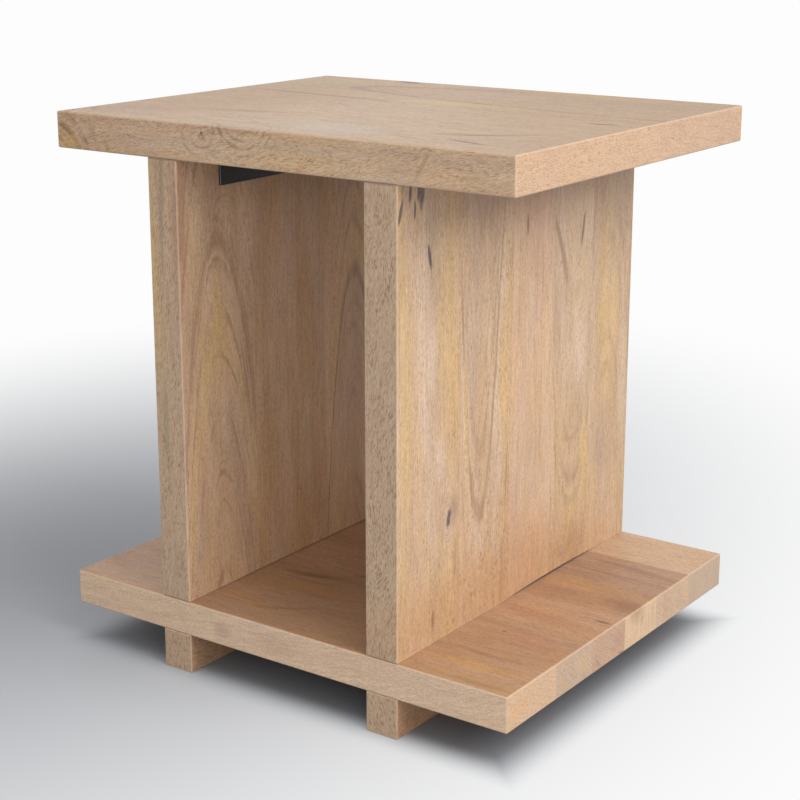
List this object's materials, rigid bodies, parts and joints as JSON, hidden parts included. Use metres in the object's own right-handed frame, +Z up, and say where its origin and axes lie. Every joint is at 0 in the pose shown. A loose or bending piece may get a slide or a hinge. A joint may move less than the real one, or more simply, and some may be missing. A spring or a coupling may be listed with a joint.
{
  "type": "side table",
  "caption": "Side table of solid hardwood boards: square-edged top and shelf of one size, two upright panels between them, runner feet and black steel angles under the top.",
  "frame": {"origin": "on the floor under the middle of the table, centred in width and depth", "axes": "+Z up, +X to the right as seen from the front, -Y towards the front"},
  "size_m": [0.559, 0.457, 0.588],
  "materials": {
    "wood_honey": "clear matt lacquer on solid hardwood, honey brown",
    "wood_pale": "clear matt lacquer on solid hardwood, pale tan",
    "wood_rosy": "clear matt lacquer on solid hardwood, pinkish brown",
    "wood_olive": "clear matt lacquer on solid hardwood, grey olive brown",
    "wood_amber": "clear matt lacquer on solid hardwood, orange brown",
    "dowel_wood": "plain turned beech",
    "black_steel": "black satin powder coat on steel",
    "zinc_steel": "bright zinc plate on steel",
    "brass_insert": "turned brass"
  },
  "bodies": {
    "root": {"top_stave_1": "wood_honey", "top_stave_2": "wood_pale", "top_stave_3": "wood_honey", "shelf_stave_1": "wood_honey", "shelf_stave_2": "wood_amber", "shelf_stave_3": "wood_pale", "shelf_stave_4": "wood_rosy", "shelf_stave_5": "wood_amber", "shelf_stave_6": "wood_pale", "left_panel_stave_1": "wood_honey", "left_panel_stave_2": "wood_rosy", "left_panel_stave_3": "wood_olive", "left_panel_stave_4": "wood_honey", "left_panel_stave_5": "wood_rosy", "right_panel_stave_1": "wood_pale", "right_panel_stave_2": "wood_honey", "right_panel_stave_3": "wood_rosy", "right_panel_stave_4": "wood_olive", "right_panel_stave_5": "wood_amber", "left_foot": "wood_olive", "right_foot": "wood_honey", "left_bracket": "black_steel", "left_bracket_panel_screws": "black_steel", "left_bracket_top_screws": "black_steel", "left_bracket_panel_washers": "black_steel", "left_bracket_top_washers": "black_steel", "left_top_dowels": "dowel_wood", "left_panel_dowels": "dowel_wood", "left_foot_bolts": "zinc_steel", "left_bolt_washers": "zinc_steel", "left_panel_inserts": "brass_insert", "right_bracket": "black_steel", "right_bracket_panel_screws": "black_steel", "right_bracket_top_screws": "black_steel", "right_bracket_panel_washers": "black_steel", "right_bracket_top_washers": "black_steel", "right_top_dowels": "dowel_wood", "right_panel_dowels": "dowel_wood", "right_foot_bolts": "zinc_steel", "right_bolt_washers": "zinc_steel", "right_panel_inserts": "brass_insert"}
  },
  "joints": []
}
